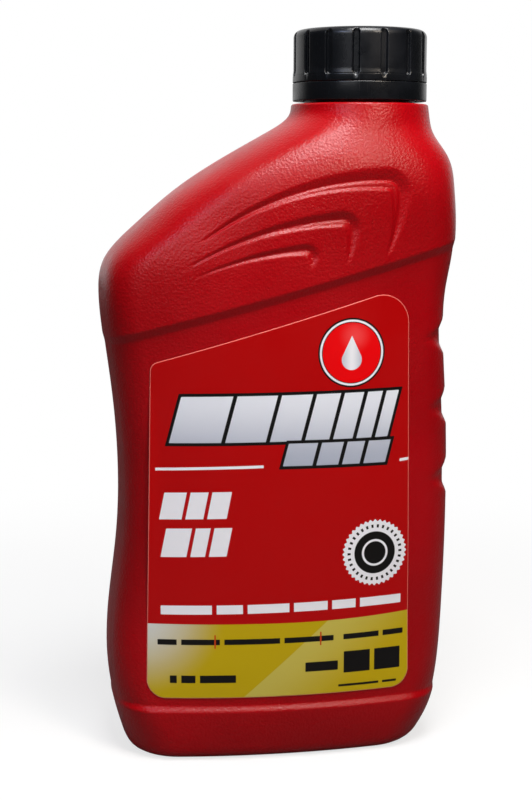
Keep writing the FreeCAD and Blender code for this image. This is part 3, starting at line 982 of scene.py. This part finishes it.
def use_group(tree, group, **inputs):
    """Places a group in a material with its own values."""
    named = {key.replace("_", " "): value for key, value in inputs.items()}
    return feed(tree, add(tree, "ShaderNodeGroup", node_tree=group), named)


def new_material(name):
    """A material with an empty Principled shader and the surface's own coordinates in millimetres."""
    material = bpy.data.materials.new(name)
    material.use_nodes = True
    tree = material.node_tree
    tree.nodes.clear()
    shader = tree.nodes.new("ShaderNodeBsdfPrincipled")
    out = tree.nodes.new("ShaderNodeOutputMaterial")
    tree.links.new(shader.outputs[0], out.inputs[0])
    place = tree.nodes.new("ShaderNodeTexCoord")
    scaled = add(tree, "ShaderNodeVectorMath", {0: place.outputs["Object"], "Scale": 1 / mm},
                 operation="SCALE")
    return material, tree, shader, scaled.outputs[0]


def wear(piece, material):
    """Gives a piece its material."""
    piece.data.materials.clear()
    piece.data.materials.append(material)


# %% [markdown]
# ## Mould grain and handling marks
#
# The mould of the body is blasted, so the plastic has a fine leathery grain that breaks up every
# highlight. Handling adds faint smudges and hair scratches that only change the gloss. More than one
# plastic has both, so each is a group of its own.

# %% Mould grain group
grain_group, grain_in, grain_out = new_group(
    "mould_grain",
    [("Position", "NodeSocketVector", None), ("Cell", "NodeSocketFloat", 1.1)],
    [("Height", "NodeSocketFloat")])
grain_rate = calc(grain_group, "DIVIDE", 1.0, grain_in.outputs["Cell"])
grain_cells = add(grain_group, "ShaderNodeTexVoronoi", {"Vector": grain_in.outputs["Position"],
                                                        "Scale": grain_rate, "Randomness": 0.9},
                  feature="SMOOTH_F1")
grain_cells.inputs["Smoothness"].default_value = 0.6
grain_fine = add(grain_group, "ShaderNodeTexNoise", {"Vector": grain_in.outputs["Position"],
                                                     "Scale": calc(grain_group, "MULTIPLY", grain_rate, 2.2),
                                                     "Detail": 2.0})
grain_sum = calc(grain_group, "ADD", grain_cells.outputs["Distance"],
                 calc(grain_group, "MULTIPLY", grain_fine.outputs["Fac"], 0.8))
grain_group.links.new(grain_sum, grain_out.inputs["Height"])

# %% Handling marks group
marks_group, marks_in, marks_out = new_group(
    "handling_marks",
    [("Position", "NodeSocketVector", None), ("Base Roughness", "NodeSocketFloat", 0.3),
     ("Strength", "NodeSocketFloat", 0.1)],
    [("Roughness", "NodeSocketFloat"), ("Smudge", "NodeSocketFloat")])
stretched = add(marks_group, "ShaderNodeMapping", {"Vector": marks_in.outputs["Position"],
                                                   "Rotation": (0.3, 0.5, 0.2), "Scale": (1.6, 1.6, 0.07)})
scratches = add(marks_group, "ShaderNodeTexNoise", {"Vector": stretched.outputs[0], "Scale": 1.3,
                                                    "Detail": 3.0, "Roughness": 0.7})
lines = ranged(marks_group, scratches.outputs["Fac"], 0.6, 0.72)
smudges = add(marks_group, "ShaderNodeTexNoise", {"Vector": marks_in.outputs["Position"], "Scale": 0.05,
                                                  "Detail": 4.0, "Roughness": 0.6})
cloud = ranged(marks_group, smudges.outputs["Fac"], 0.4, 0.65)
both = calc(marks_group, "ADD", calc(marks_group, "MULTIPLY", lines, 0.6), cloud)
rough = calc(marks_group, "MULTIPLY_ADD", both, marks_in.outputs["Strength"],
             marks_in.outputs["Base Roughness"])
marks_group.links.new(rough, marks_out.inputs["Roughness"])
marks_group.links.new(cloud, marks_out.inputs["Smudge"])

# %% [markdown]
# ## Red bottle plastic
#
# The body is high-density polyethylene coloured through with a strong red. It is a waxy plastic: light
# goes a little way in, so it gets a trace of subsurface scattering, and its gloss is broad and broken by
# the mould's grain. The colour drifts slightly, as the wall's thickness does.

# %% Bottle plastic
bottle_red = screen(163, 0, 10)
bottle_red_deep = screen(152, 0, 8)
bottle_material, tree, shader, place = new_material("bottle_plastic")
drift = add(tree, "ShaderNodeTexNoise", {"Vector": place, "Scale": 0.02, "Detail": 2.0})
shade = ranged(tree, drift.outputs["Fac"], 0.35, 0.65)
marks = use_group(tree, marks_group, Position=place, Base_Roughness=0.29, Strength=0.07)
grain = use_group(tree, grain_group, Position=place, Cell=0.85)
feed(tree, shader, {
    "Base Color": mixed(tree, shade, bottle_red, bottle_red_deep),
    "Roughness": marks.outputs["Roughness"],
    "Normal": relief(tree, grain.outputs["Height"], 0.6, 0.00016),
    "IOR": 1.5,
    "Specular IOR Level": 0.27,
    "Subsurface Weight": 0.08,
    "Subsurface Radius": (1.0, 0.15, 0.1),
    "Subsurface Scale": 0.0015,
})
wear(bottle_piece, bottle_material)
print("bottle plastic has", len(tree.nodes), "nodes")

# %% [markdown]
# ## Black cap plastic
#
# Cap and ring are polypropylene with carbon black: nearly black, with a tight semi-gloss that picks out
# every flute. Handling leaves it a little dull in patches.

# %% Cap plastic
cap_black = screen(7, 9, 13)
cap_black_dull = screen(13, 15, 20)
cap_material, tree, shader, place = new_material("cap_plastic")
marks = use_group(tree, marks_group, Position=place, Base_Roughness=0.24, Strength=0.12)
grain = use_group(tree, grain_group, Position=place, Cell=0.5)
feed(tree, shader, {
    "Base Color": mixed(tree, marks.outputs["Smudge"], cap_black, cap_black_dull),
    "Roughness": marks.outputs["Roughness"],
    "Normal": relief(tree, grain.outputs["Height"], 0.12, 0.00006),
    "IOR": 1.5,
})
wear(cap_piece, cap_material)
wear(ring_piece, cap_material)
print("cap plastic has", len(tree.nodes), "nodes")

# %% [markdown]
# ## Foam liner
#
# Inside the cap lies a disc of white foamed polyethylene that seals the mouth. Its solid has the right
# shape, so only its finish changes: a pale matt white with the tiny cells of the foam.

# %% Liner foam
foam_white = screen(226, 226, 220)
foam_white_light = screen(240, 240, 236)
liner_material, tree, shader, place = new_material("liner_foam")
cells = add(tree, "ShaderNodeTexVoronoi", {"Vector": place, "Scale": 2.6})
in_cell = ranged(tree, cells.outputs["Distance"], 0.1, 0.7)
feed(tree, shader, {
    "Base Color": mixed(tree, in_cell, foam_white, foam_white_light),
    "Normal": relief(tree, cells.outputs["Distance"], 0.4, 0.0001),
    "Roughness": 0.75,
})
wear(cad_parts["cap_liner"], liner_material)
print("liner foam has", len(tree.nodes), "nodes")

# %% [markdown]
# ## Shapes for the print
#
# The print is drawn with masks in millimetres of the front view. One group gives a slanted bar and
# another a disc, and a bar cut into lengths makes a row of blocks. Edges are soft over a tenth of a
# millimetre, as ink on film is.

# %% Ink edges
ink_softness = 0.12


def inked(tree, inside):
    """Mask of the places where a distance inside an edge is above nought, with the ink's soft edge."""
    return calc(tree, "DIVIDE", inside, ink_softness, clamp=True)


def from_centre(tree, group_in):
    """How far a place lies to the right of a group's centre and above it."""
    split = add(tree, "ShaderNodeSeparateXYZ", {0: group_in.outputs["Position"]})
    return (calc(tree, "SUBTRACT", split.outputs["X"], group_in.outputs["Centre X"]),
            calc(tree, "SUBTRACT", split.outputs["Z"], group_in.outputs["Centre Z"]))


flat_in = [("Position", "NodeSocketVector", None), ("Centre X", "NodeSocketFloat", 0.0),
           ("Centre Z", "NodeSocketFloat", 0.0)]

# %% Bar group
bar_group, bar_in, bar_out = new_group(
    "print_bar",
    flat_in + [("Half Width", "NodeSocketFloat", 5.0), ("Half Height", "NodeSocketFloat", 1.0),
               ("Slant", "NodeSocketFloat", 0.0), ("Rise", "NodeSocketFloat", 0.0)],
    [("Mask", "NodeSocketFloat")])
dx, dz = from_centre(bar_group, bar_in)
dz = calc(bar_group, "SUBTRACT", dz, calc(bar_group, "MULTIPLY", dx, bar_in.outputs["Rise"]))
dx = calc(bar_group, "SUBTRACT", dx, calc(bar_group, "MULTIPLY", dz, bar_in.outputs["Slant"]))
inside_x = calc(bar_group, "SUBTRACT", bar_in.outputs["Half Width"], calc(bar_group, "ABSOLUTE", dx))
inside_z = calc(bar_group, "SUBTRACT", bar_in.outputs["Half Height"], calc(bar_group, "ABSOLUTE", dz))
inside_both = calc(bar_group, "SMOOTH_MIN", inside_x, inside_z, 0.4)
feed(bar_group, bar_out, {"Mask": inked(bar_group, inside_both)})

# %% Disc group
disc_group, disc_in, disc_out = new_group(
    "print_disc", flat_in + [("Radius", "NodeSocketFloat", 5.0)],
    [("Mask", "NodeSocketFloat"), ("Distance", "NodeSocketFloat"), ("Angle", "NodeSocketFloat")])
dx, dz = from_centre(disc_group, disc_in)
far = calc(disc_group, "SQRT", calc(disc_group, "ADD", calc(disc_group, "MULTIPLY", dx, dx),
                                    calc(disc_group, "MULTIPLY", dz, dz)))
inside_disc = calc(disc_group, "SUBTRACT", disc_in.outputs["Radius"], far)
feed(disc_group, disc_out, {"Mask": inked(disc_group, inside_disc), "Distance": far,
                            "Angle": calc(disc_group, "ARCTAN2", dz, dx)})
print("print groups:", bar_group.name, disc_group.name)

# %% [markdown]
# ## The printed film
#
# The print is built up like a screen print, one ink over another: the red field, the gold band with its
# silver corner and light facet, then silver bars with a dark outline, plain white and black rows of
# blocks, a round badge with an oil drop, and a seal with teeth. All of it is plain shapes.

# %% Film: inks
film_red = screen(172, 0, 2)
film_gold = screen(186, 160, 8)
film_gold_light = screen(196, 184, 92)
film_silver = screen(206, 207, 203)
white_ink = screen(232, 232, 238)
black_ink = screen(14, 12, 12)
tick_ink = screen(190, 60, 10)
silver_low = screen(168, 174, 190)
silver_high = screen(226, 229, 238)
badge_red = screen(228, 0, 6)
badge_shine = screen(250, 120, 120)
drop_grey = screen(190, 194, 206)
# Pale pink for the painted highlight along the film's cut edge, not an ink.
painted_edge_highlight = screen(226, 120, 110)

label_material, tree, shader, place = new_material("label_film")
split = add(tree, "ShaderNodeSeparateXYZ", {0: place})
x_mm, z_mm = split.outputs["X"], split.outputs["Z"]

# %% Film: masks on the front view
Bar = namedtuple("Bar", "x z half_width half_height slant rise")


def bar_mask_of(bar, grow=0.0):
    """Mask of one bar, made larger all round by grow."""
    made = use_group(tree, bar_group, Position=place, Centre_X=bar.x, Centre_Z=bar.z,
                     Half_Width=bar.half_width + grow, Half_Height=bar.half_height + grow,
                     Slant=bar.slant, Rise=bar.rise)
    return made.outputs["Mask"]


def sliced(bar, cuts, cut_width):
    """Mask of a bar with slanting cuts through it, at shares of its width."""
    mask = bar_mask_of(bar)
    for share in cuts:
        cut_x = bar.x + bar.half_width * (2 * share - 1)
        cut = bar._replace(x=cut_x, z=bar.z + bar.rise * (cut_x - bar.x), half_width=cut_width / 2,
                           half_height=bar.half_height + 2)
        mask = calc(tree, "MULTIPLY", mask, calc(tree, "SUBTRACT", 1.0, bar_mask_of(cut)))
    return mask


def disc_at(x, z, radius):
    """A disc with its mask, and the distance and angle from its centre."""
    return use_group(tree, disc_group, Position=place, Centre_X=x, Centre_Z=z, Radius=radius)


# %% Film: ground colours
band_top = 45.1
band_rise = 0.00075
facet_foot = -14.5, 21.2
facet_lean = 1.118
silver_corner = -47.0, 48.0

to_right = calc(tree, "MAXIMUM", x_mm, 0.0)
band_edge = calc(tree, "MULTIPLY_ADD", calc(tree, "MULTIPLY", to_right, to_right), band_rise, band_top)
in_band = inked(tree, calc(tree, "SUBTRACT", band_edge, z_mm))
facet_line = calc(tree, "SUBTRACT", calc(tree, "SUBTRACT", x_mm, facet_foot[0]),
                  calc(tree, "MULTIPLY", calc(tree, "SUBTRACT", z_mm, facet_foot[1]), facet_lean))
facet_fade = ranged(tree, facet_line, 0.0, 34.0, 0.75, 0.0)
facet = calc(tree, "MULTIPLY", inked(tree, facet_line), facet_fade)
gold = mixed(tree, facet, film_gold, film_gold_light)
from_corner = disc_at(*silver_corner, 1.0).outputs["Distance"]
gold = mixed(tree, ranged(tree, from_corner, 2.0, 27.0, 1.0, 0.0), gold, film_silver)
colour = mixed(tree, in_band, film_red, gold)

# %% Film: bars
silver_shade = ranged(tree, z_mm, 95.0, 118.0, 0.0, 1.0)
silver = mixed(tree, silver_shade, silver_low, silver_high)
emblem = Bar(-1.2, 110.4, 34.4, 7.3, 0.26, 0.012)
small_emblem = Bar(15.0, 98.9, 16.6, 3.6, 0.26, 0.0)
for bar, cuts in [(emblem, (0.24, 0.44, 0.6, 0.73, 0.84, 0.93)), (small_emblem, (0.3, 0.55, 0.76))]:
    colour = mixed(tree, bar_mask_of(bar, 1.0), colour, black_ink)
    colour = mixed(tree, sliced(bar, cuts, 1.4), colour, silver)

white_marks = [
    bar_mask_of(Bar(-25.05, 94.9, 16.65, 0.5, 0.0, 0.027)),
    bar_mask_of(Bar(37.9, 95.9, 2.4, 0.5, 0.0, 0.09)),
    sliced(Bar(-29.4, 83.0, 10.4, 4.3, 0.2, 0.02), (0.36, 0.68), 1.3),
    sliced(Bar(-29.2, 71.3, 10.2, 4.6, 0.2, 0.02), (0.42, 0.7), 1.3),
    sliced(Bar(-1.8, 50.0, 38.6, 1.5, 0.0, 0.012), (0.215, 0.34, 0.53, 0.69, 0.81), 1.6),
]
for mark in white_marks:
    colour = mixed(tree, mark, colour, white_ink)
black_marks = [
    sliced(Bar(-13.6, 39.3, 27.9, 0.95, 0.0, 0.003), (0.12, 0.36, 0.7), 1.5),
    sliced(Bar(27.6, 39.5, 10.2, 0.95, 0.0, 0.01), (0.62,), 1.5),
    sliced(Bar(-27.4, 27.2, 10.4, 1.3, 0.0, 0.0), (0.14, 0.42), 1.5),
    sliced(Bar(10.4, 30.2, 5.4, 1.6, 0.0, 0.0), (), 1.0),
    sliced(Bar(27.2, 31.0, 9.6, 3.6, 0.0, 0.0), (0.5,), 1.6),
    sliced(Bar(25.8, 23.3, 9.9, 0.45, 0.0, 0.0), (0.72,), 1.4),
]
for mark in black_marks:
    colour = mixed(tree, mark, colour, black_ink)
for tick_x in (-23.6, 10.0):
    colour = mixed(tree, bar_mask_of(Bar(tick_x, 39.4, 0.3, 2.3, 0.0, 0.0)), colour, tick_ink)

# %% Film: badge with the drop
badge_x, badge_z = 19.2, 130.4
badge_rings = [(10.9, black_ink), (10.35, white_ink), (9.7, black_ink), (9.45, badge_red)]
drop_radius = 3.3
drop_tip = 7.6
drop_z = badge_z - 2.2
drop_angle = math.asin(drop_radius / drop_tip)

for radius, ink in badge_rings:
    colour = mixed(tree, disc_at(badge_x, badge_z, radius).outputs["Mask"], colour, ink)
gloss = disc_at(badge_x + 1.0, badge_z + 5.2, 6.5)
shine = ranged(tree, gloss.outputs["Distance"], 0.0, 6.0, 0.3, 0.0)
inner = disc_at(badge_x, badge_z, 9.2)
colour = mixed(tree, calc(tree, "MULTIPLY", shine, inner.outputs["Mask"]), colour, badge_shine)
belly = disc_at(badge_x, drop_z, drop_radius)
above = calc(tree, "SUBTRACT", z_mm, drop_z)
half_here = calc(tree, "MULTIPLY", calc(tree, "SUBTRACT", drop_tip, above), math.tan(drop_angle))
off_axis = calc(tree, "ABSOLUTE", calc(tree, "SUBTRACT", x_mm, badge_x))
cone = inked(tree, calc(tree, "SUBTRACT", half_here, off_axis))
cone_on = calc(tree, "GREATER_THAN", above, drop_radius * math.sin(drop_angle))
drop = calc(tree, "MAXIMUM", belly.outputs["Mask"], calc(tree, "MULTIPLY", cone, cone_on))
drop_shade = mixed(tree, ranged(tree, off_axis, 0.0, 3.4, 0.0, 1.0), white_ink, drop_grey)
colour = mixed(tree, drop, colour, drop_shade)

# %% Film: seal with teeth and beads
seal_x, seal_z = 27.6, 66.3
seal_radius = 10.5
seal_teeth = 40.0
tooth_height = 0.3
seal_beads = 30.0
bead_track = 8.6
seal_rings = [(6.9, black_ink), (4.4, white_ink), (3.7, black_ink)]

seal = disc_at(seal_x, seal_z, seal_radius)
wave = calc(tree, "COSINE", calc(tree, "MULTIPLY", seal.outputs["Angle"], seal_teeth))
edge = calc(tree, "MULTIPLY_ADD", wave, tooth_height, seal_radius)
seal_mask = inked(tree, calc(tree, "SUBTRACT", edge, seal.outputs["Distance"]))
colour = mixed(tree, seal_mask, colour, white_ink)
beads = calc(tree, "COSINE", calc(tree, "MULTIPLY", seal.outputs["Angle"], seal_beads))
beads = ranged(tree, beads, 0.1, 0.5)
off_track = calc(tree, "ABSOLUTE", calc(tree, "SUBTRACT", seal.outputs["Distance"], bead_track))
on_track = ranged(tree, off_track, 0.45, 0.6, 1.0, 0.0)
colour = mixed(tree, calc(tree, "MULTIPLY", beads, on_track), colour, black_ink)
for radius, ink in seal_rings:
    colour = mixed(tree, disc_at(seal_x, seal_z, radius).outputs["Mask"], colour, ink)

# %% Film: painted highlight on the cut edge, gloss and relief
# A painted highlight: pale pink laid into the colour along the film's cut edge, where its rim would catch the
# light.
cut_edge = add(tree, "ShaderNodeAttribute", attribute_name="cut_edge")
edge_highlight_share = ranged(tree, cut_edge.outputs["Fac"], 0.45, 0.95)
colour = mixed(tree, calc(tree, "MULTIPLY", edge_highlight_share, 0.75), colour, painted_edge_highlight)
marks = use_group(tree, marks_group, Position=place, Base_Roughness=0.3, Strength=0.08)
ripple = add(tree, "ShaderNodeTexNoise", {"Vector": place, "Scale": 0.22, "Detail": 3.0})
feed(tree, shader, {
    "Base Color": colour,
    "Roughness": marks.outputs["Roughness"],
    "Normal": relief(tree, ripple.outputs["Fac"], 0.12, 0.0003),
    "IOR": 1.45,
    "Specular IOR Level": 0.3,
})
wear(label_piece, label_material)
print("label film has", len(tree.nodes), "nodes")

# %% [markdown]
# ## Floor and background
#
# The bottle stands on pale paper in a white room, as in a studio picture that was cut out. To the camera
# the paper turns white away from the bottle, so only its own soft shadow stays. To all other rays the
# paper is much darker and the room is bright only behind the bottle, because white light from every side
# would wash the red out. Light Path tells the two kinds of ray apart.

# %% Floor
floor_size = 6.0
paper_seen = (0.85, 0.85, 0.85, 1.0)
paper_unseen = (0.16, 0.16, 0.16, 1.0)
pure_white = (1.0, 1.0, 1.0, 1.0)

floor_mesh = bpy.data.meshes.new("floor")
half = floor_size / 2
floor_corners = [(-half, -half, 0), (half, -half, 0), (half, half, 0), (-half, half, 0)]
floor_mesh.from_pydata(floor_corners, [], [(0, 1, 2, 3)])
floor_piece = bpy.data.objects.new("floor", floor_mesh)
bpy.context.scene.collection.objects.link(floor_piece)
floor_material = bpy.data.materials.new("floor_paper")
floor_material.use_nodes = True
tree = floor_material.node_tree
tree.nodes.clear()
glow = add(tree, "ShaderNodeEmission", {"Color": pure_white, "Strength": 1.0})
rays = tree.nodes.new("ShaderNodeLightPath")
paper_colour = mixed(tree, rays.outputs["Is Camera Ray"], paper_unseen, paper_seen)
paper = add(tree, "ShaderNodeBsdfDiffuse", {"Color": paper_colour})
on_floor = tree.nodes.new("ShaderNodeTexCoord")
from_middle = add(tree, "ShaderNodeVectorMath", {0: on_floor.outputs["Object"]}, operation="LENGTH")
whiter = ranged(tree, from_middle.outputs["Value"], 0.05, 0.4, 0.7, 1.0)
camera_share = calc(tree, "MULTIPLY", rays.outputs["Is Camera Ray"], whiter)
blend = add(tree, "ShaderNodeMixShader", {0: camera_share, 1: paper.outputs[0], 2: glow.outputs[0]})
add(tree, "ShaderNodeOutputMaterial", {0: blend.outputs[0]})
floor_mesh.materials.append(floor_material)
print("floor is", floor_size, "metres wide")

# %% World
world = bpy.data.worlds.new("white_room")
bpy.context.scene.world = world
world.use_nodes = True
tree = world.node_tree
tree.nodes.clear()
way = tree.nodes.new("ShaderNodeTexCoord")
split = add(tree, "ShaderNodeSeparateXYZ", {0: way.outputs["Generated"]})
behind = ranged(tree, split.outputs["Y"], 0.4, 0.8, 0.05, 0.9)
rays = tree.nodes.new("ShaderNodeLightPath")
strength = calc(tree, "MAXIMUM", rays.outputs["Is Camera Ray"], behind)
soft_light = add(tree, "ShaderNodeBackground", {"Color": pure_white, "Strength": strength})
add(tree, "ShaderNodeOutputWorld", {0: soft_light.outputs[0]})
print("world:", world.name)

# %% [markdown]
# ## Lamps
#
# A satin plastic works like a dull mirror, so each lamp is placed for the highlight it makes. The key box
# in front on the right gives the warm highlight on the shoulder and the collar. The top box lights the
# cap and whatever faces up, the front box lights the print evenly, the back box gives the left slope its
# pale rim, and a small cool box stands for a window and tints the left edges.

# %% Lamps
plain_tint = (1.0, 1.0, 1.0)
warm_tint = (1.0, 0.88, 0.74)
faint_warm_tint = (1.0, 0.95, 0.92)
window_tint = (0.35, 0.5, 1.0)


def soft_box(name, place, aim, size, power, tint=plain_tint):
    """A square area lamp that points at a place on the bottle."""
    lamp = bpy.data.lights.new(name, "AREA")
    lamp.shape = "SQUARE"
    lamp.size = size
    lamp.energy = power
    lamp.color = tint
    holder = bpy.data.objects.new(name, lamp)
    holder.location = place
    holder.rotation_euler = (Vector(aim) - Vector(place)).to_track_quat("-Z", "Y").to_euler()
    bpy.context.scene.collection.objects.link(holder)
    print(name, "gives", power, "watts")


soft_box("key_box", (0.29, -0.6, 0.62), (0.01, 0, 0.16), 0.18, 2.8, warm_tint)
soft_box("top_box", (0.03, -0.2, 0.62), (0, 0, 0.16), 0.22, 3.4)
soft_box("back_box", (-0.35, 0.3, 0.85), (0, 0, 0.15), 0.5, 0.4, faint_warm_tint)
soft_box("front_box", (-0.55, -0.95, 0.75), (0, 0, 0.12), 0.6, 3.5)
soft_box("window_box", (-0.3, -0.36, 0.5), (0, 0, 0.15), 0.12, 0.3, window_tint)

# %% [markdown]
# ## Camera
#
# The photograph was taken from close by, a little above and to the left of the bottle's front, with the
# camera rolled by a fraction of a degree. These few values place the same camera here.

# %% Camera
azimuth = math.radians(9.2)
elevation = math.radians(8.9)
roll = math.radians(0.2)
distance = 0.5
target = Vector((-0.00315, 0.0, 0.1117))
focal_pixels = 1529.0
frame_height_pixels = 800
sensor = 36.0

back = Vector((-math.sin(azimuth) * math.cos(elevation), -math.cos(azimuth) * math.cos(elevation),
               math.sin(elevation)))
level_right = (-back).cross(Vector((0, 0, 1))).normalized()
level_up = level_right.cross(-back)
right = math.cos(roll) * level_right + math.sin(roll) * level_up
up = -math.sin(roll) * level_right + math.cos(roll) * level_up
camera = bpy.data.cameras.new("camera")
camera.sensor_width = sensor
camera.lens = focal_pixels * sensor / frame_height_pixels
camera.clip_start = 0.01
camera.clip_end = 20.0
camera_holder = bpy.data.objects.new("camera", camera)
facing = Matrix((right, up, back)).transposed().to_4x4()
camera_holder.matrix_world = Matrix.Translation(target + back * distance) @ facing
bpy.context.scene.collection.objects.link(camera_holder)
bpy.context.scene.camera = camera_holder
bpy.context.scene.view_settings.view_transform = "Standard"
print("camera lens", round(camera.lens, 2), "mm")
